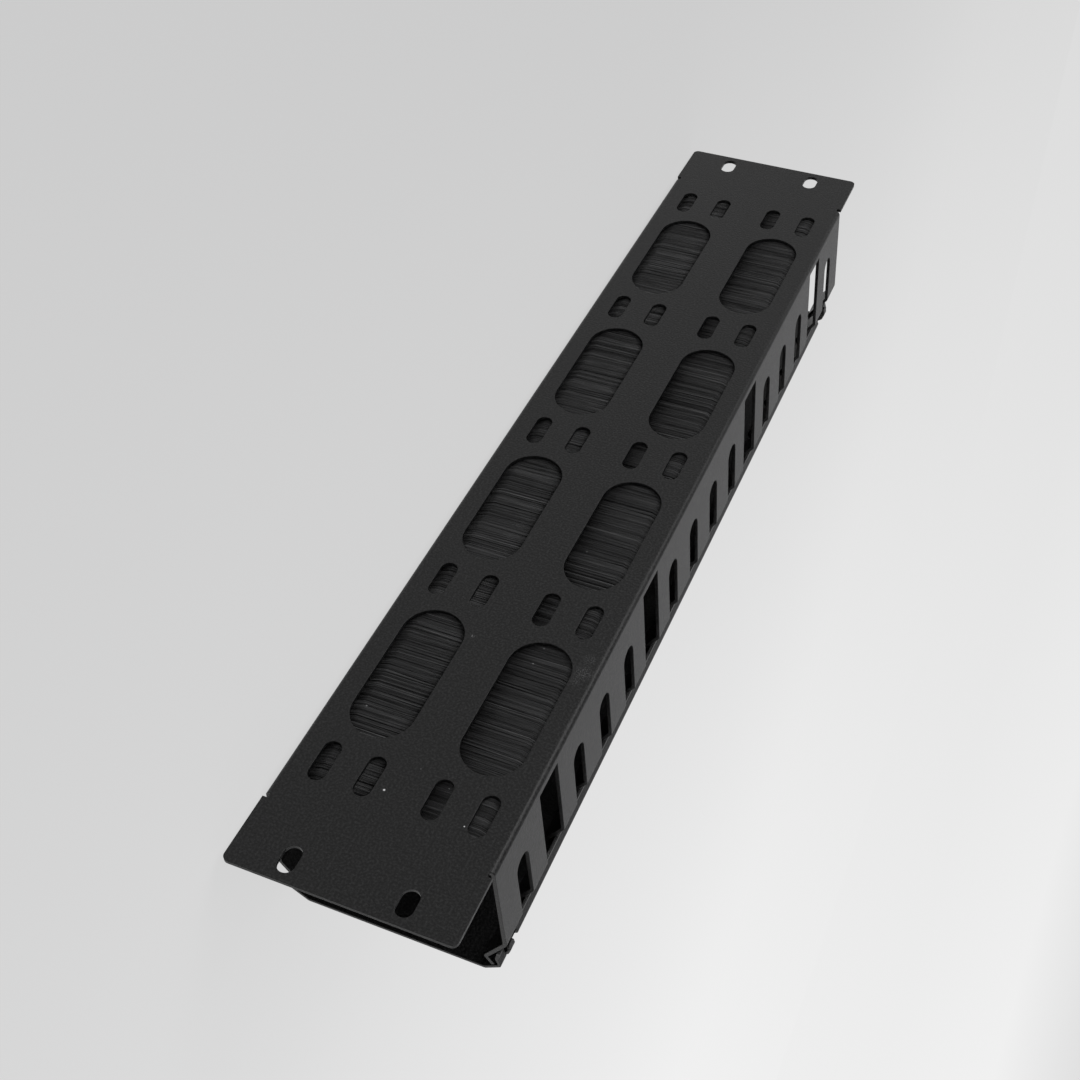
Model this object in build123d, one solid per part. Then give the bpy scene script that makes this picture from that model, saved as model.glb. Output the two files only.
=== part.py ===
from build123d import *
from math import hypot, radians, tan
import os

# Two-unit rack cable manager. One folded sheet makes the rear panel, its ears and the two
# slotted finger walls. A folded cover snaps over the fingers at the front, and two strip
# brushes behind the panel close its openings.
# X runs along the rack, +Y points into the rack and +Z is up. The origin is the middle of
# the mounting slots, on the face that meets the rack's rails.

# Panel and its mounting slots, to the rack standard
panel_width = 482.6
panel_height = 88.0
panel_sheet = 1.5
ear_corner_radius = 2.5
mount_from_end = 8.75
mount_spacing_z = 44.45
mount_slot_length = 11.1
mount_slot_height = 6.7

# Duct walls folded from the panel
duct_length = 423.0
wall_depth = 44.8
wall_splay = 3.0
bend_inside_radius = 0.5
relief_width = 2.0
relief_depth = 2.0

# Lip at the free end of every finger: in to a valley, then back out to a tip
lip_valley_in = 8.0
lip_valley_drop = 12.2
lip_tip_out = 2.5
lip_tip_drop = 3.7

# Slots between the fingers
finger_slot_count = 16
finger_slot_pitch = 25.65
wide_slot_places = (1, 5, 10, 14)
narrow_slot_width = 10.0
narrow_slot_start = 16.2
wide_slot_width = 16.0
wide_slot_start = 4.2

# Brush openings and the small tie slots beside them
opening_length = 65.0
opening_height = 25.0
opening_pitch = 96.0
opening_count = 4
row_offset = 22.2
tie_slot_length = 18.0
tie_slot_height = 7.0
tie_slot_offset = 9.0

# Front cover
cover_sheet = 1.2
cover_bend_inside_radius = 0.6
cover_clearance = 0.35
cover_bead_depth = 1.3
cover_bead_width = 8.4
cover_edge_flare = 0.9
cover_foot_gap = 0.3
cover_chamfer_height = 7.0
cover_chamfer_drop = 5.0
tab_length = 3.9
tab_height = 6.0
tab_from_end = 5.7
tab_bow = 1.1
tab_edge_bow = 0.4
tab_corner_radius = 1.2
tab_root_depth = 1.3
tab_slit = 0.7
tab_relief = 5.6

# Strip brushes
brush_end_gap = 3.5
brush_wall_gap = 0.8
tape_thickness = 0.6
tape_height = 3.2
channel_depth = 6.0
channel_height = 5.6
channel_sheet = 0.5
channel_bend_radius = 0.3
channel_mouth = 2.8
channel_pinch = 1.8
core_wire_diameter = 1.6
bristle_fold = 0.8
bristle_clearance = 0.1
bristle_tip_gap = 2.0
bristle_tip_depth = 4.6
tuft_pitch = 6.5
tuft_groove = 0.9
tuft_tip_notch = 3.0

# Worked out from the sizes above
half_height = panel_height / 2
half_duct = duct_length / 2
mount_spacing_x = panel_width - 2 * mount_from_end
bend_outside_radius = bend_inside_radius + panel_sheet
wall_foot_z = half_height + wall_depth * tan(radians(wall_splay))
valley_y = -(wall_depth + lip_valley_drop)
valley_z = wall_foot_z - lip_valley_in
tip_y = valley_y - lip_tip_drop
tip_z = valley_z + lip_tip_out
brush_length = duct_length - 2 * brush_end_gap
brush_middle_y = -(panel_sheet + tape_thickness + channel_depth / 2)
brush_back_z = half_height - panel_sheet - brush_wall_gap
brush_mouth_z = brush_back_z - channel_height
core_wire_z = brush_back_z - channel_sheet - bristle_fold - core_wire_diameter / 2


def mirrored(points):
    """The points of an upper half section, then their mirror images below the middle."""
    return points + [(y, -z) for y, z in reversed(points)]


def inner_face(points, radii, sheet):
    """Points and bend radii of a sheet's inner face, to the right of the way its outer face runs."""
    corners = [Vector(*point) for point in points]
    legs = [(end - start).normalized() for start, end in zip(corners, corners[1:])]
    rights = [Vector(leg.Y, -leg.X) for leg in legs]
    inner_points = []
    for corner, before, after in zip(corners, rights[:1] + rights, rights + rights[-1:]):
        inner_points.append(corner + (before + after) * (sheet / (1 + before.dot(after))))
    inner_radii = []
    for radius, leg, next_leg in zip(radii, legs, legs[1:]):
        turns_right = leg.cross(next_leg).Z < 0
        inner_radii.append(radius - sheet if turns_right else radius + sheet)
    return inner_points, inner_radii


def folded_sheet(points, radii, sheet, length):
    """A sheet folded along points of its outer face, given as (y, z), with its stock inside."""
    inner_points, inner_radii = inner_face(points, radii, sheet)
    with BuildPart() as part:
        with BuildSketch(Plane.YZ):
            with BuildLine():
                outer = FilletPolyline(*points, radius=radii)
                inner = FilletPolyline(*inner_points, radius=inner_radii)
                Line(outer @ 0, inner @ 0)
                Line(outer @ 1, inner @ 1)
            make_face()
        extrude(amount=length / 2, both=True)
    return part.part


# Panel body

def panel_section():
    """Outer face of the walls and panel, from the upper finger's tip round to the lower one's."""
    upper = [
        (tip_y, tip_z),
        (valley_y, valley_z),
        (-wall_depth, wall_foot_z),
        (0, half_height),
    ]
    convex = bend_outside_radius
    concave = bend_inside_radius
    return mirrored(upper), [concave, convex, convex, convex, convex, concave]


def ears():
    """The two flat ears beyond the duct, with their mounting slots and bend reliefs."""
    with BuildPart() as part:
        with BuildSketch(Plane.XZ):
            Rectangle(panel_width, panel_height)
            Rectangle(duct_length, panel_height, mode=Mode.SUBTRACT)
            outer_x = panel_width / 2
            corners = [v for v in vertices() if abs(abs(v.X) - outer_x) < ear_corner_radius]
            fillet(corners, ear_corner_radius)
            with GridLocations(mount_spacing_x, mount_spacing_z, 2, 2):
                SlotOverall(mount_slot_length, mount_slot_height, mode=Mode.SUBTRACT)
            with GridLocations(duct_length + relief_width, panel_height - relief_depth, 2, 2):
                Rectangle(relief_width, relief_depth, mode=Mode.SUBTRACT)
        extrude(amount=panel_sheet)
    return part.part


def panel_cut_outs():
    """Cutters for the brush openings and the tie slots."""
    group_count = opening_count + 1
    with BuildPart() as part:
        with BuildSketch(Plane.XZ):
            with GridLocations(opening_pitch, 2 * row_offset, opening_count, 2):
                SlotOverall(opening_length, opening_height)
            for row in (-row_offset, row_offset):
                with Locations((0, row)):
                    with GridLocations(opening_pitch, 2 * tie_slot_offset, group_count, 2):
                        SlotOverall(tie_slot_length, tie_slot_height)
        extrude(amount=panel_sheet)
    return part.part


def finger_slot_cutters():
    """Cutters for the slots of both walls, open past the finger tips."""
    past_tips = -tip_y + 2 * panel_sheet
    radius = narrow_slot_width / 2
    middle = (finger_slot_count - 1) / 2
    with BuildPart() as part:
        with BuildSketch(Plane.XY):
            for place in range(finger_slot_count):
                x = (place - middle) * finger_slot_pitch
                wide = place in wide_slot_places
                width = wide_slot_width if wide else narrow_slot_width
                start = wide_slot_start if wide else narrow_slot_start + radius
                with Locations((x, -(start + past_tips) / 2)):
                    Rectangle(width, past_tips - start)
                if not wide:
                    with Locations((x, -start)):
                        Circle(radius)
        extrude(amount=wall_foot_z + panel_sheet, both=True)
    return part.part


def panel_body():
    points, radii = panel_section()
    body = folded_sheet(points, radii, panel_sheet, duct_length)
    body = body + ears()
    body = body - panel_cut_outs() - finger_slot_cutters()
    return body


# Front cover

def cover_flange(bowed=False):
    """Outer face of the upper flange, from its free edge to its foot, as (y, z) points."""
    foot_y = tip_y - cover_foot_gap
    edge_y = foot_y + cover_bead_width
    middle_y = foot_y + cover_bead_width / 2
    bead_z = tip_z + cover_clearance + cover_sheet
    foot_z = bead_z + cover_bead_depth
    # The free edge stays clear of the sloping upper leg of the finger's lip.
    lip_slope = lip_valley_in / lip_valley_drop
    lip_z = wall_foot_z + (edge_y + wall_depth) * lip_slope
    clear_of_lip_z = lip_z + cover_clearance * hypot(1, lip_slope) + cover_sheet
    edge_z = max(clear_of_lip_z, bead_z + cover_edge_flare)
    if bowed:
        tab_middle_y = foot_y + tab_height / 2
        tab_edge = (foot_y + tab_height, foot_z + tab_edge_bow)
        return [tab_edge, (tab_middle_y, foot_z + tab_bow), (foot_y, foot_z)]
    return [(edge_y, edge_z), (middle_y, bead_z), (foot_y, foot_z)]


def cover_section(bowed=False):
    """Outer face of the whole cover, its flanges beaded in or, at the tabs, bowed out."""
    flange = cover_flange(bowed)
    foot_y, foot_z = flange[-1]
    face_corner = (foot_y - cover_chamfer_drop, foot_z - cover_chamfer_height)
    convex = cover_bend_inside_radius + cover_sheet
    bead = convex if bowed else cover_bend_inside_radius
    upwards = mirrored(flange + [face_corner])[::-1]
    return upwards, [bead] + [convex] * 4 + [bead]


def tab_blocks(width, from_end, height, corner_radius=0.0):
    """Blocks at the four tab places, from just below the flanges' foot to height above it."""
    foot_y, foot_z = cover_flange()[-1]
    x = half_duct - from_end - width / 2
    y = foot_y + (height - tab_root_depth) / 2
    with BuildPart() as part:
        with BuildSketch(Plane.XY):
            with Locations((x, y), (-x, y)):
                Rectangle(width, height + tab_root_depth)
            if corner_radius:
                tops = vertices().filter_by_position(Axis.Y, y, 0)
                fillet(tops, corner_radius)
        extrude(amount=foot_z + panel_height, both=True)
    return part.part


def front_cover():
    """The cover, with a bowed tab between two cuts near each end of each flange."""
    points, radii = cover_section()
    cover = folded_sheet(points, radii, cover_sheet, duct_length)
    window_width = tab_slit + tab_length + tab_relief
    cover = cover - tab_blocks(window_width, tab_from_end - tab_slit, 2 * cover_bead_width)
    points, radii = cover_section(bowed=True)
    bowed = folded_sheet(points, radii, cover_sheet, duct_length)
    tabs = tab_blocks(tab_length, tab_from_end, tab_height, tab_corner_radius)
    return cover + (bowed & tabs)


# Strip brushes: a steel channel crimped on bristles that are folded over a core wire

def channel_side():
    """Outer face of the channel's inner leg, from its mouth to its closed back, as (y, z)."""
    leg_y = brush_middle_y - channel_depth / 2
    lip_y = brush_middle_y - channel_mouth / 2 - channel_sheet
    return [(lip_y, brush_mouth_z), (leg_y, brush_mouth_z + channel_pinch), (leg_y, brush_back_z)]


def across_brush(points):
    """Points on one side of the brush, then their mirror images across its middle."""
    return points + [(2 * brush_middle_y - y, z) for y, z in reversed(points)]


def brush_channel():
    radii = [channel_bend_radius + channel_sheet] * 4
    return folded_sheet(across_brush(channel_side()), radii, channel_sheet, brush_length)


def solid_section(points, length):
    """A straight solid along X from its section in (y, z)."""
    with BuildPart() as part:
        with BuildSketch(Plane.YZ):
            with BuildLine():
                Polyline(*points, close=True)
            make_face()
        extrude(amount=length / 2, both=True)
    return part.part


def core_wire(diameter=core_wire_diameter):
    with BuildPart() as part:
        with BuildSketch(Plane.YZ):
            with Locations((brush_middle_y, core_wire_z)):
                Circle(diameter / 2)
        extrude(amount=brush_length / 2, both=True)
    return part.part


def tuft_line(crest, groove):
    """A zigzag along X, at crest in the middle of each tuft and at groove between two."""
    count = int(brush_length // tuft_pitch)
    step = brush_length / (2 * count)
    return [(i * step - brush_length / 2, crest if i % 2 else groove) for i in range(2 * count + 1)]


def tufts():
    """The free bristles, grooved between tufts and notched at their tips."""
    half_mouth = channel_mouth / 2 - bristle_clearance
    half_tip = bristle_tip_depth / 2
    spread = [(brush_middle_y - half_mouth, brush_mouth_z), (brush_middle_y - half_tip, bristle_tip_gap)]
    fan = solid_section(across_brush(spread), brush_length)
    near_side = tuft_line(brush_middle_y - half_tip, brush_middle_y - half_tip + tuft_groove)
    far_side = [(x, 2 * brush_middle_y - y) for x, y in reversed(near_side)]
    with BuildPart() as grooved:
        with BuildSketch(Plane.XY):
            with BuildLine():
                Polyline(*near_side, *far_side, close=True)
            make_face()
        extrude(amount=brush_mouth_z)
    tips = tuft_line(bristle_tip_gap, bristle_tip_gap + tuft_tip_notch)
    half_length = brush_length / 2
    with BuildPart() as notched:
        with BuildSketch(Plane.XZ):
            with BuildLine():
                Polyline(*tips, (half_length, brush_back_z), (-half_length, brush_back_z), close=True)
            make_face()
        extrude(amount=-2 * brush_middle_y)
    return fan & grooved.part & notched.part


def bristles():
    """Free tufts and the fold of bristles that fills the channel round the core wire."""
    inside = channel_sheet + bristle_clearance
    half_mouth = channel_mouth / 2 - bristle_clearance
    pinch_z = brush_mouth_z + channel_pinch
    leg_y = brush_middle_y - channel_depth / 2 + inside
    fold = [(brush_middle_y - half_mouth, brush_mouth_z), (leg_y, pinch_z), (leg_y, brush_back_z - inside)]
    root = solid_section(across_brush(fold), brush_length)
    return root + tufts() - core_wire(core_wire_diameter + 2 * bristle_clearance)


def brush_tape():
    """Adhesive tape between the panel and the flat outer leg of the channel."""
    with BuildPart() as part:
        with BuildSketch(Plane.XZ.offset(panel_sheet)):
            with Locations((0, (brush_mouth_z + channel_pinch + brush_back_z) / 2)):
                Rectangle(brush_length, tape_height)
        extrude(amount=tape_thickness)
    return part.part


os.makedirs("parts", exist_ok=True)
export_step(panel_body(), "parts/panel_body.step")
export_step(front_cover(), "parts/front_cover.step")
brush_parts = {
    "channel": brush_channel(),
    "core_wire": core_wire(),
    "bristles": bristles(),
    "tape": brush_tape(),
}
for name, solid in brush_parts.items():
    export_step(solid, f"parts/upper_brush_{name}.step")
    export_step(mirror(solid, about=Plane.XY), f"parts/lower_brush_{name}.step")
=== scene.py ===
import math

import bpy
import numpy as np
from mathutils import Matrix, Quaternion, Vector


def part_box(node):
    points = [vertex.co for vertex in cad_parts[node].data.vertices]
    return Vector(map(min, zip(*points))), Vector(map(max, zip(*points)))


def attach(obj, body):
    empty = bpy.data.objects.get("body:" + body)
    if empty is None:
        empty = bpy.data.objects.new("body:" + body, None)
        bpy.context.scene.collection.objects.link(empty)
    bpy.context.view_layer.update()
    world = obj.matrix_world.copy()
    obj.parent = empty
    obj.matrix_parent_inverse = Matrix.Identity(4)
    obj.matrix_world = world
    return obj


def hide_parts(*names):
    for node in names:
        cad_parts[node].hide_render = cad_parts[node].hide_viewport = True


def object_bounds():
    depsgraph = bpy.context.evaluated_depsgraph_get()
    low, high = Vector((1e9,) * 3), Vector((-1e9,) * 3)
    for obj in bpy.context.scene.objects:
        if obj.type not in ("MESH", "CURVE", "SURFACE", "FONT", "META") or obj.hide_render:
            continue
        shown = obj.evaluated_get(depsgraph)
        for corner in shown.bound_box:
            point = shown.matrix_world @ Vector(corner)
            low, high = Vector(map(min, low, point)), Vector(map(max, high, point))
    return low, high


# A rack cable manager of black powder-coated sheet, with two strip brushes behind its panel.
# Lengths in the dictionaries are millimetres, and mm turns them into metres.
mm = 0.001
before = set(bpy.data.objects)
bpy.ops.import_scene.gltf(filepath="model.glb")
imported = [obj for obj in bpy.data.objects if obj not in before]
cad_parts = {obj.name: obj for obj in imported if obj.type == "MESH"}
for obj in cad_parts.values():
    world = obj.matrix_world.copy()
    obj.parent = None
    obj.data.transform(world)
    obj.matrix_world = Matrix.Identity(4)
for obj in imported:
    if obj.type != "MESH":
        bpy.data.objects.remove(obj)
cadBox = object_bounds()
print("stage: frame loaded")


# Node trees

def newMaterial(name):
    material = bpy.data.materials.new(name)
    material.use_nodes = True
    tree = material.node_tree
    return material, tree, tree.nodes["Principled BSDF"]


def addNode(tree, kind, inputs=None, **settings):
    # an input takes a link from another node's output, or else a constant
    node = tree.nodes.new(kind)
    for key, value in settings.items():
        setattr(node, key, value)
    for key, value in (inputs or {}).items():
        if isinstance(value, bpy.types.NodeSocket):
            tree.links.new(value, node.inputs[key])
        else:
            node.inputs[key].default_value = value
    return node


def objectPlace(tree):
    return addNode(tree, "ShaderNodeTexCoord").outputs["Object"]


def calculate(tree, operation, first, second=0.0, third=0.0):
    node = addNode(tree, "ShaderNodeMath", {0: first, 1: second, 2: third}, operation=operation)
    return node.outputs[0]


def noise(tree, place, size, detail=2.0, roughness=0.5):
    inputs = {"Vector": place, "Scale": 1.0 / (size * mm), "Detail": detail, "Roughness": roughness}
    return addNode(tree, "ShaderNodeTexNoise", inputs).outputs["Fac"]


def stretched(tree, place, scale):
    return addNode(tree, "ShaderNodeMapping", {"Vector": place, "Scale": scale}).outputs["Vector"]


def remap(tree, value, fromRange, toRange, interpolation="LINEAR"):
    inputs = {
        "Value": value, "From Min": fromRange[0], "From Max": fromRange[1],
        "To Min": toRange[0], "To Max": toRange[1],
    }
    return addNode(tree, "ShaderNodeMapRange", inputs, interpolation_type=interpolation).outputs["Result"]


def blendColours(tree, share, first, second):
    return addNode(tree, "ShaderNodeMix", {0: share, 6: first, 7: second}, data_type="RGBA").outputs[2]


def grey(level):
    return (level, level, level * 1.01, 1.0)


def nearPoint(tree, place, centre, radius, soft):
    # 1 inside the radius round a point on the part, fading to 0 over soft
    middle = [part * mm for part in centre]
    offset = addNode(tree, "ShaderNodeVectorMath", {0: place, 1: middle}, operation="DISTANCE")
    return remap(tree, offset.outputs["Value"], (radius * mm, (radius + soft) * mm), (1.0, 0.0))


def bumpNormal(tree, height, depth, strength, normal=None):
    inputs = {"Height": height, "Distance": depth * mm, "Strength": strength}
    if normal is not None:
        inputs["Normal"] = normal
    return addNode(tree, "ShaderNodeBump", inputs).outputs["Normal"]


# Powder coat on the folded sheets

coat = {
    "tone": 0.0025,
    "toneSpread": 0.001,         # slow changes from place to place
    "slowSize": 30.0,
    "paintedGlintTone": 0.02,           # painted glints: light flecks of its grain, painted into the colour
    "paintedGlintRange": (0.44, 0.7),   # where in the grain's noise they start and are full
    "grainSize": 0.9,            # the coat's fine texture
    "grainDepth": 0.25,
    "grainStrength": 0.8,
    "flowSize": 3.2,             # the longer waves that such a coat sets in
    "flowDepth": 0.06,
    "flowStrength": 0.5,
    "roughness": (0.32, 0.44),   # least and most, with the grain
    "gloss": 0.29,
    "edgeRound": 0.4,            # the coat's rounding over cut edges
    "dustTone": 0.62,
    "scuffTone": 0.2,
    "scuffSize": 0.5,            # spacing of the dots in a rubbed place
    "scuffRange": (0.5, 0.68),
}

# Pale specks of dust on the panel's rear face, as place and radius
dustSpecks = [
    ((-195.3, 0.0, -5.8), 0.42),
    ((-198.4, 0.0, 26.6), 0.26),
    ((-182.4, 0.0, 2.1), 0.10),
]

# Rubbed places on the panel's rear face, as place, radius and strength
scuffs = [
    ((-119.1, 0.0, -7.7), 1.0, 0.8),
    ((-120.2, 0.0, 38.3), 3.6, 0.4),
    ((-113.3, 0.0, 38.3), 2.6, 0.3),
    ((-125.0, 0.0, 37.0), 2.2, 0.25),
]


def powderCoat():
    material, tree, shader = newMaterial("powderCoat")
    place = objectPlace(tree)
    slow = noise(tree, place, coat["slowSize"])
    fine = noise(tree, place, coat["grainSize"], detail=3.0, roughness=0.6)
    flow = noise(tree, place, coat["flowSize"])
    low = coat["tone"] - coat["toneSpread"] / 2
    high = coat["tone"] + coat["toneSpread"] / 2
    base = blendColours(tree, slow, grey(low), grey(high))
    # pale flecks are painted into the coat's colour over its grain, as painted glints
    paintedGlints = remap(tree, fine, coat["paintedGlintRange"], (0.0, 1.0))
    colour = blendColours(tree, paintedGlints, base, grey(coat["paintedGlintTone"]))
    dots = noise(tree, place, coat["scuffSize"], detail=1.0)
    speckle = remap(tree, dots, coat["scuffRange"], (0.0, 1.0))
    for centre, radius, strength in scuffs:
        spot = nearPoint(tree, place, centre, radius * 0.3, radius)
        share = calculate(tree, "MULTIPLY", spot, speckle)
        share = calculate(tree, "MULTIPLY", share, strength)
        colour = blendColours(tree, share, colour, grey(coat["scuffTone"]))
    for centre, radius in dustSpecks:
        spot = nearPoint(tree, place, centre, radius * 0.7, radius * 0.5)
        colour = blendColours(tree, spot, colour, grey(coat["dustTone"]))
    tree.links.new(colour, shader.inputs["Base Color"])
    tree.links.new(remap(tree, fine, (0.3, 0.7), coat["roughness"]), shader.inputs["Roughness"])
    shader.inputs["Specular IOR Level"].default_value = coat["gloss"]
    edges = addNode(tree, "ShaderNodeBevel", {"Radius": coat["edgeRound"] * mm}, samples=6)
    waves = bumpNormal(tree, flow, coat["flowDepth"], coat["flowStrength"], edges.outputs["Normal"])
    grain = bumpNormal(tree, fine, coat["grainDepth"], coat["grainStrength"], waves)
    tree.links.new(grain, shader.inputs["Normal"])
    return material


# Finishes inside the strip brushes. A drawn surface has fine lines along the strip.

channelFinish = {"tone": 0.03, "roughness": (0.36, 0.5), "drawSize": 0.3, "metallic": 0.0}
wireFinish = {"tone": 0.42, "roughness": (0.26, 0.4), "drawSize": 0.2, "metallic": 1.0}
drawLines = {"stretch": (0.02, 1.0, 1.0), "darkest": 0.8, "lightest": 1.2, "depth": 0.02, "strength": 0.6}
tapeFinish = {
    "tone": 0.02, "darkest": 0.6, "lightest": 1.5, "roughness": 0.85,
    "poreSize": 0.35, "poreDepth": 0.08, "poreStrength": 0.7,
}


def drawnSteel(name, finish):
    material, tree, shader = newMaterial(name)
    lines = noise(tree, stretched(tree, objectPlace(tree), drawLines["stretch"]), finish["drawSize"])
    dark = grey(finish["tone"] * drawLines["darkest"])
    light = grey(finish["tone"] * drawLines["lightest"])
    tree.links.new(blendColours(tree, lines, dark, light), shader.inputs["Base Color"])
    shader.inputs["Metallic"].default_value = finish["metallic"]
    tree.links.new(remap(tree, lines, (0.3, 0.7), finish["roughness"]), shader.inputs["Roughness"])
    grooves = bumpNormal(tree, lines, drawLines["depth"], drawLines["strength"])
    tree.links.new(grooves, shader.inputs["Normal"])
    return material


def foamTape():
    material, tree, shader = newMaterial("foamTape")
    pores = noise(tree, objectPlace(tree), tapeFinish["poreSize"], detail=3.0)
    dark = grey(tapeFinish["tone"] * tapeFinish["darkest"])
    light = grey(tapeFinish["tone"] * tapeFinish["lightest"])
    tree.links.new(blendColours(tree, pores, dark, light), shader.inputs["Base Color"])
    shader.inputs["Roughness"].default_value = tapeFinish["roughness"]
    holes = bumpNormal(tree, pores, tapeFinish["poreDepth"], tapeFinish["poreStrength"])
    tree.links.new(holes, shader.inputs["Normal"])
    return material


# Bristles

bristleFinish = {
    "toneLow": 0.008,
    "toneHigh": 0.13,
    "roughness": 0.38,
    "gloss": 0.25,
    "streakSize": 1.2,                # slow changes of tone along a filament
    "streakStretch": (1.0, 1.0, 0.15),
    "streakTone": (0.75, 1.15),
    "streakDepth": 0.02,
    "streakStrength": 0.4,
    "dustTone": 0.4,
    "speckY": -2.0,                   # on the side that faces the panel
    "speckRadius": 0.25,
    "speckSoft": 0.12,
}

# Pale specks of dust on the bristles, as (x, z)
bristleSpecks = [(-113.2, 19.5), (-121.6, 18.6), (-59.4, 15.2), (-162.9, -30.1), (-185.1, 14.3)]


def nylon():
    # each filament carries its own tone, from 0 to 1, in the mesh
    material, tree, shader = newMaterial("nylonBristle")
    tone = addNode(tree, "ShaderNodeAttribute", attribute_name="tone").outputs["Fac"]
    place = objectPlace(tree)
    streaks = noise(tree, stretched(tree, place, bristleFinish["streakStretch"]), bristleFinish["streakSize"])
    mixed = calculate(tree, "MULTIPLY", tone, remap(tree, streaks, (0.3, 0.7), bristleFinish["streakTone"]))
    colour = blendColours(tree, mixed, grey(bristleFinish["toneLow"]), grey(bristleFinish["toneHigh"]))
    for x, z in bristleSpecks:
        centre = (x, bristleFinish["speckY"], z)
        spot = nearPoint(tree, place, centre, bristleFinish["speckRadius"], bristleFinish["speckSoft"])
        colour = blendColours(tree, spot, colour, grey(bristleFinish["dustTone"]))
    tree.links.new(colour, shader.inputs["Base Color"])
    shader.inputs["Roughness"].default_value = bristleFinish["roughness"]
    shader.inputs["Specular IOR Level"].default_value = bristleFinish["gloss"]
    ridges = bumpNormal(tree, streaks, bristleFinish["streakDepth"], bristleFinish["streakStrength"])
    tree.links.new(ridges, shader.inputs["Normal"])
    return material


brush = {
    "seed": 7,
    "filaments": 15000,
    "width": 0.31,           # a filament's thickness at its root
    "taper": 0.35,           # share of it that is gone at the tip
    "rootInset": 4.6,        # from the strip's back to just inside the channel's mouth
    "mouthHalf": 1.25,       # half the layer's depth at the channel
    "frontY": -1.8,          # where the layer has fanned out, right behind the panel's sheet
    "backY": -7.2,
    "fanOut": 0.15,          # share of the length in which it fans out
    "crowding": 1.6,         # above 1, more filaments lie towards the panel
    "layers": 3,             # layers that lean on their own
    "clumpSize": 0.6,        # filaments within this length lean together
    "clumpLean": 0.3,
    "leanLimit": 0.6,        # a clump leans no further
    "waveClumps": 8,         # clumps in one longer wave of the lean
    "ownLean": 0.36,
    "bow": 0.08,
    "clumpTone": 0.2,        # shares of the tone, from the clump, the filament and a painted shine
    "ownTone": 0.24,
    "paintedShineTone": 0.4,
    "paintedShineShare": 0.06,           # share of filaments painted pale, as a painted shine
    "tipCut": 0.1,           # every tip ends this far short of the strip's edge
    "tipSpread": 1.4,        # and up to this much further
}


def clumpNoise(rng, count):
    # smooth random values, one per clump, with a few longer waves in them
    single = rng.normal(size=count)
    waveAt = np.arange(0, count + brush["waveClumps"] + 1, brush["waveClumps"])
    wave = np.interp(np.arange(count), waveAt, rng.normal(size=len(waveAt)))
    return 0.75 * single + 0.6 * wave


def layFilaments(rng, lowX, highX):
    # random place, depth, lean, bow, tip and tone of every filament along the strip
    count = brush["filaments"]
    margin = brush["width"] + brush["leanLimit"]
    rootX = np.sort(rng.uniform(lowX + margin, highX - margin, count))
    behind = rng.uniform(0, 1, count)
    layer = np.minimum((behind * brush["layers"]).astype(int), brush["layers"] - 1)
    clumps = int((highX - lowX) / brush["clumpSize"]) + 2
    at = (rootX - lowX) / brush["clumpSize"]
    lean = np.zeros(count)
    tone = np.zeros(count)
    for number in range(brush["layers"]):
        inLayer = layer == number
        leans = clumpNoise(rng, clumps) * brush["clumpLean"]
        lean[inLayer] = np.interp(at[inLayer], np.arange(clumps), leans)
        tone[inLayer] = np.interp(at[inLayer], np.arange(clumps), rng.uniform(0, 1, clumps))
    lean = np.clip(lean, -brush["leanLimit"], brush["leanLimit"])
    lean = lean + rng.normal(size=count) * brush["ownLean"]
    tone = brush["clumpTone"] * tone + brush["ownTone"] * rng.uniform(0, 1, count) ** 2
    # a few filaments are painted pale, as a painted shine
    tone = tone + brush["paintedShineTone"] * (rng.uniform(0, 1, count) < brush["paintedShineShare"])
    return {
        "rootX": rootX,
        "depth": 1 - 2 * behind ** brush["crowding"],   # 1 at the panel, -1 at the back
        "lean": lean,
        "tone": np.clip(tone, 0, 1),
        "bow": rng.normal(size=count) * brush["bow"],
        "tipCut": rng.uniform(0, 1, count) ** 2 * brush["tipSpread"] + brush["tipCut"],
    }


def filamentPoints(laid, stops, middleY, rootZ, tipZ, limit):
    # a three-cornered ring at each stop along every filament
    turns = 0.5 + np.arange(3) * 2 * math.pi / 3
    fannedY = (brush["frontY"] + brush["backY"]) / 2 + laid["depth"] * (brush["frontY"] - brush["backY"]) / 2
    mouthY = middleY + laid["depth"] * brush["mouthHalf"]
    points = np.zeros((brush["filaments"], len(stops), 3, 3))
    for ring, along in enumerate(stops):
        bowed = laid["bow"] * 4 * along * (1 - along)
        x = np.clip(laid["rootX"] + laid["lean"] * along + bowed, -limit, limit)
        fan = min(along / brush["fanOut"], 1.0)
        y = mouthY * (1.0 - fan) + fannedY * fan
        z = rootZ + (tipZ + laid["tipCut"] - rootZ) * along
        radius = brush["width"] / 2 * (1.0 - brush["taper"] * along)
        points[:, ring, :, 0] = x[:, None] + np.cos(turns) * radius
        points[:, ring, :, 1] = y[:, None] + np.sin(turns) * radius
        points[:, ring, :, 2] = z[:, None]
    return points


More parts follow.
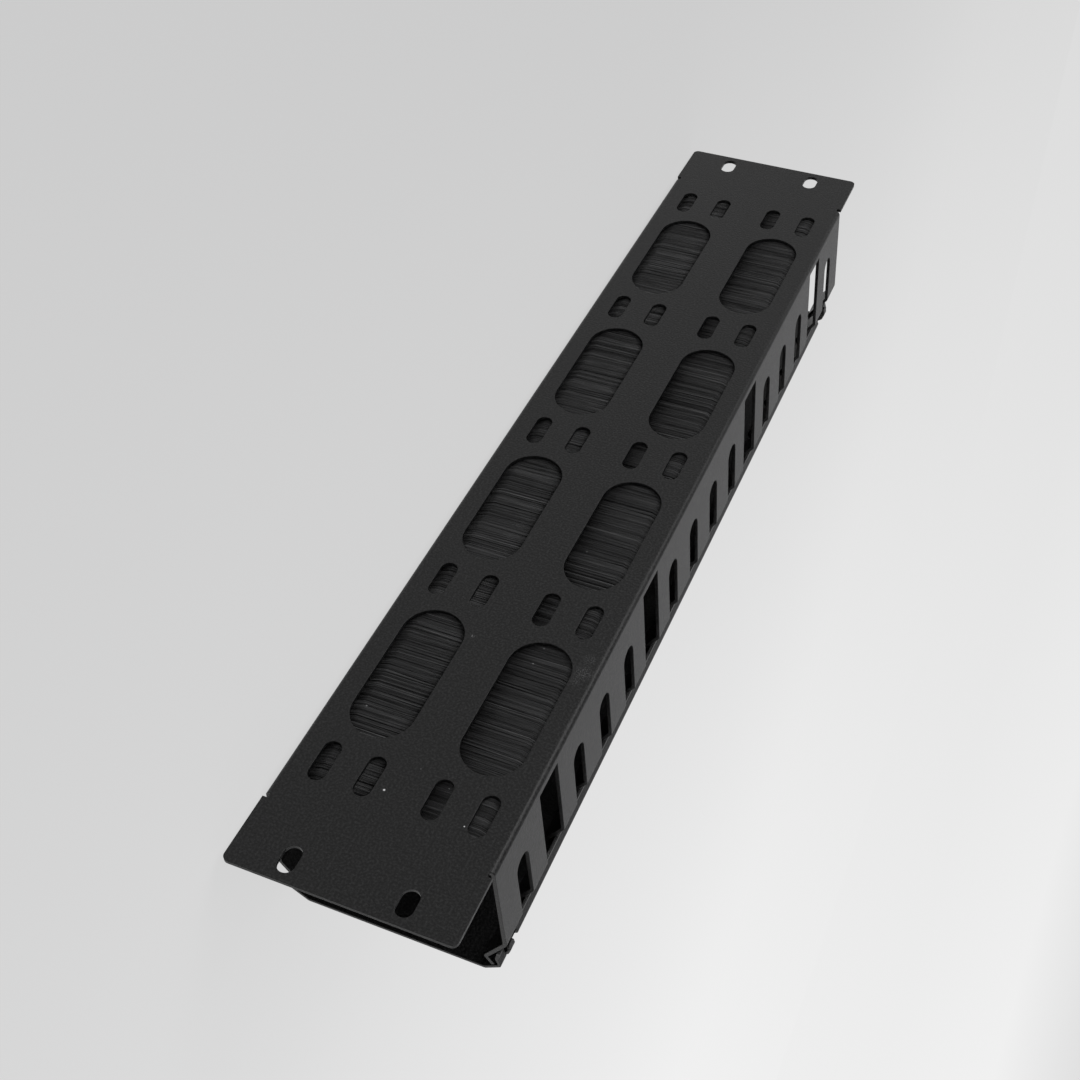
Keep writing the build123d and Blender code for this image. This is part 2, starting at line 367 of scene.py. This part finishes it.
def filamentMesh(name, points, tone, flipped):
    # sides between the rings and a cap on each tip, facing outward
    rings = points.shape[1]
    sides = []
    for ring in range(rings - 1):
        for corner in range(3):
            after = (corner + 1) % 3
            side = [ring * 3 + corner, ring * 3 + after, ring * 3 + 3 + after, ring * 3 + 3 + corner]
            sides.append(side[::-1] if flipped else side)
    cap = [rings * 3 - 3, rings * 3 - 2, rings * 3 - 1]
    cap = cap[::-1] if flipped else cap
    starts = np.arange(len(points)) * rings * 3
    allSides = (starts[:, None, None] + np.array(sides)[None]).reshape(-1, 4)
    allCaps = starts[:, None] + np.array(cap)[None]
    loops = np.concatenate([allSides.ravel(), allCaps.ravel()])
    loopStarts = np.concatenate([np.arange(len(allSides)) * 4, allSides.size + np.arange(len(allCaps)) * 3])
    mesh = bpy.data.meshes.new(name)
    mesh.vertices.add(points.size // 3)
    mesh.vertices.foreach_set("co", (points * mm).ravel().astype(np.float32))
    mesh.loops.add(len(loops))
    mesh.loops.foreach_set("vertex_index", loops.astype(np.int32))
    mesh.polygons.add(len(loopStarts))
    mesh.polygons.foreach_set("loop_start", loopStarts.astype(np.int32))
    mesh.update(calc_edges=True)
    mesh.validate()
    attribute = mesh.attributes.new("tone", "FLOAT", "POINT")
    attribute.data.foreach_set("value", np.repeat(tone, rings * 3).astype(np.float32))
    mesh.shade_smooth()
    return mesh


def brushFilaments(name, node, seed):
    low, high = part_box(node)
    hangs = high.z > -low.z                    # the upper brush hangs down, the lower one stands up
    backZ, tipZ = (high.z, low.z) if hangs else (-low.z, -high.z)
    laid = layFilaments(np.random.default_rng(seed), low.x / mm, high.x / mm)
    stops = (0.0, brush["fanOut"], 1.0)
    middleY = (low.y + high.y) / 2 / mm
    limit = high.x / mm - brush["width"]
    points = filamentPoints(laid, stops, middleY, backZ / mm - brush["rootInset"], tipZ / mm, limit)
    if not hangs:
        points[..., 2] *= -1
    piece = bpy.data.objects.new(name, filamentMesh(name, points, laid["tone"], not hangs))
    bpy.context.scene.collection.objects.link(piece)
    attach(piece, "frame")
    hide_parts(node)
    return piece


bristleMaterial = nylon()
for number, side in enumerate(("upper", "lower")):
    filaments = brushFilaments(side + "_brush_filaments", side + "_brush_bristles", brush["seed"] + number)
    filaments.data.materials.append(bristleMaterial)
    print("stage:", filaments.name, len(filaments.data.polygons), "faces")


# Finishes of the folded and drawn pieces

def dress(node, material):
    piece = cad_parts[node]
    piece.data.materials.clear()
    piece.data.materials.append(material)


coatMaterial = powderCoat()
channelMaterial = drawnSteel("channelLacquer", channelFinish)
wireMaterial = drawnSteel("coreWireSteel", wireFinish)
tapeMaterial = foamTape()
for node in ("panel_body", "front_cover"):
    dress(node, coatMaterial)
for side in ("upper", "lower"):
    dress(side + "_brush_channel", channelMaterial)
    dress(side + "_brush_core_wire", wireMaterial)
    dress(side + "_brush_tape", tapeMaterial)
print("stage: finishes")


# Floor, light and camera

studio = {
    "floorSize": 6000.0,
    "floorTone": 0.7,
    "floorRoughness": 0.9,
    "shadowShare": 0.15,     # how much of the floor's own light and shadow shows near the part
    "plainFrom": 250.0,      # distance at which the floor starts to turn into the plain background
    "plainTo": 1500.0,
    "underFrom": 8.0,        # this far in from the duct's edge its full shadow starts to set in
    "underFull": 18.0,
}

# The room's light above the backdrop, as the sine of the elevation and its strength
roomGlow = [(0.1, 0.45), (0.34, 0.77), (0.55, 0.6), (0.85, 0.42)]

# The pale backdrop, its level and its change with the direction seen from the part
backdrop = {
    "level": 0.69,
    "alongX": -0.07,
    "alongY": -0.22,
    "upward": 0.45,
    "soft": 500.0,           # distance from the part's middle over which the changes set in
    "ends": (0.06, 0.2),     # sines of the elevation between which it turns into the room
}

softBox = {"place": (330, 870, 520), "aim": (-60, 0, 10), "size": 700, "power": 5.2}


def backdropColour(tree, direction):
    parts = addNode(tree, "ShaderNodeSeparateXYZ", {"Vector": direction})
    tone = calculate(tree, "MULTIPLY_ADD", parts.outputs["X"], backdrop["alongX"], backdrop["level"])
    tone = calculate(tree, "MULTIPLY_ADD", parts.outputs["Y"], backdrop["alongY"], tone)
    above = calculate(tree, "MAXIMUM", parts.outputs["Z"], 0.0)
    tone = calculate(tree, "MULTIPLY_ADD", above, backdrop["upward"], tone)
    return addNode(tree, "ShaderNodeCombineColor", {"Red": tone, "Green": tone, "Blue": tone}).outputs[0]


def plainRays(tree):
    # 1 for the rays that see the plain background: the camera's, and those the part mirrors or lets through
    path = addNode(tree, "ShaderNodeLightPath")
    share = calculate(tree, "MAXIMUM", path.outputs["Is Camera Ray"], path.outputs["Is Glossy Ray"])
    return calculate(tree, "MAXIMUM", share, path.outputs["Is Transmission Ray"])


def underPart(tree, place):
    # 1 on the floor under the duct, fading to 0 short of the edge of its footprint
    spot = addNode(tree, "ShaderNodeSeparateXYZ", {"Vector": place})
    coverLow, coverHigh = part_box("front_cover")
    outside = []
    for axis, low, high in (("X", coverLow.x, coverHigh.x), ("Y", coverLow.y, cadBox[1].y)):
        fromMiddle = calculate(tree, "SUBTRACT", spot.outputs[axis], (low + high) / 2)
        fromMiddle = calculate(tree, "ABSOLUTE", fromMiddle)
        outside.append(calculate(tree, "SUBTRACT", fromMiddle, (high - low) / 2))
    edge = calculate(tree, "MAXIMUM", outside[0], outside[1])
    return remap(tree, edge, (-studio["underFull"] * mm, -studio["underFrom"] * mm), (1.0, 0.0))


def makeFloor():
    half = studio["floorSize"] * mm / 2
    z = cadBox[0].z
    corners = [(-half, -half, z), (half, -half, z), (half, half, z), (-half, half, z)]
    mesh = bpy.data.meshes.new("floor")
    mesh.from_pydata(corners, [], [(0, 1, 2, 3)])
    floor = bpy.data.objects.new("floor", mesh)
    bpy.context.scene.collection.objects.link(floor)
    material, tree, shader = newMaterial("floorPaper")
    shader.inputs["Base Color"].default_value = grey(studio["floorTone"])
    shader.inputs["Roughness"].default_value = studio["floorRoughness"]
    place = objectPlace(tree)
    distance = addNode(tree, "ShaderNodeVectorMath", {0: place}, operation="LENGTH").outputs["Value"]
    softened = calculate(tree, "MULTIPLY_ADD", distance, distance, (backdrop["soft"] * mm) ** 2)
    softened = calculate(tree, "DIVIDE", 1.0, calculate(tree, "SQRT", softened))
    outward = addNode(tree, "ShaderNodeVectorMath", {0: place, "Scale": softened}, operation="SCALE")
    colour = backdropColour(tree, outward.outputs[0])
    plainAt = (studio["plainFrom"] * mm, studio["plainTo"] * mm)
    share = remap(tree, distance, plainAt, (1.0 - studio["shadowShare"], 1.0), interpolation="SMOOTHSTEP")
    share = calculate(tree, "MULTIPLY", share, calculate(tree, "SUBTRACT", 1.0, underPart(tree, place)))
    share = calculate(tree, "MULTIPLY", share, plainRays(tree))
    plain = addNode(tree, "ShaderNodeEmission", {"Color": colour, "Strength": 1.0})
    mixed = addNode(tree, "ShaderNodeMixShader", {0: share, 1: shader.outputs[0], 2: plain.outputs[0]})
    tree.links.new(mixed.outputs[0], tree.nodes["Material Output"].inputs["Surface"])
    mesh.materials.append(material)


def makeWorld():
    world = bpy.data.worlds.new("studio")
    world.use_nodes = True
    bpy.context.scene.world = world
    tree = world.node_tree
    direction = addNode(tree, "ShaderNodeTexCoord").outputs["Generated"]
    height = addNode(tree, "ShaderNodeSeparateXYZ", {"Vector": direction}).outputs["Z"]
    glow = addNode(tree, "ShaderNodeValToRGB", {"Fac": height})
    stops = glow.color_ramp.elements
    for at, strength in roomGlow[1:-1]:
        stops.new(at)
    for stop, (at, strength) in zip(stops, roomGlow):
        stop.position = at
        stop.color = grey(strength)
    above = remap(tree, height, backdrop["ends"], (0.0, 1.0))
    colour = blendColours(tree, above, backdropColour(tree, direction), glow.outputs["Color"])
    tree.links.new(colour, tree.nodes["Background"].inputs["Color"])


def pointAt(item, place, aim, roll=0.0):
    # looks from one place to another, then turns about that line
    start = Vector(place) * mm
    straight = (Vector(aim) * mm - start).to_track_quat("-Z", "Y")
    item.location = start
    item.rotation_mode = "QUATERNION"
    item.rotation_quaternion = straight @ Quaternion((0, 0, 1), math.radians(roll))


def makeSoftBox():
    light = bpy.data.lights.new("softBox", "AREA")
    light.shape = "DISK"
    light.size = softBox["size"] * mm
    light.energy = softBox["power"]
    lamp = bpy.data.objects.new("softBox", light)
    pointAt(lamp, softBox["place"], softBox["aim"])
    bpy.context.scene.collection.objects.link(lamp)


cameraSetup = {
    "place": (-460.85, 438.91, 179.88),   # behind the panel and off its end
    "looksAt": (-62.02, 0.0, -4.16),
    "roll": 106.032,                      # the rack's up points to the picture's right
    "lens": 51.289,
    "sensor": 36.0,
}


def makeCamera():
    camera = bpy.data.cameras.new("camera")
    camera.lens = cameraSetup["lens"]
    camera.sensor_width = cameraSetup["sensor"]
    holder = bpy.data.objects.new("camera", camera)
    pointAt(holder, cameraSetup["place"], cameraSetup["looksAt"], cameraSetup["roll"])
    bpy.context.scene.collection.objects.link(holder)
    bpy.context.scene.camera = holder


makeFloor()
makeWorld()
makeSoftBox()
makeCamera()
bpy.context.scene.view_settings.view_transform = "Standard"
print("stage: floor, light and camera")
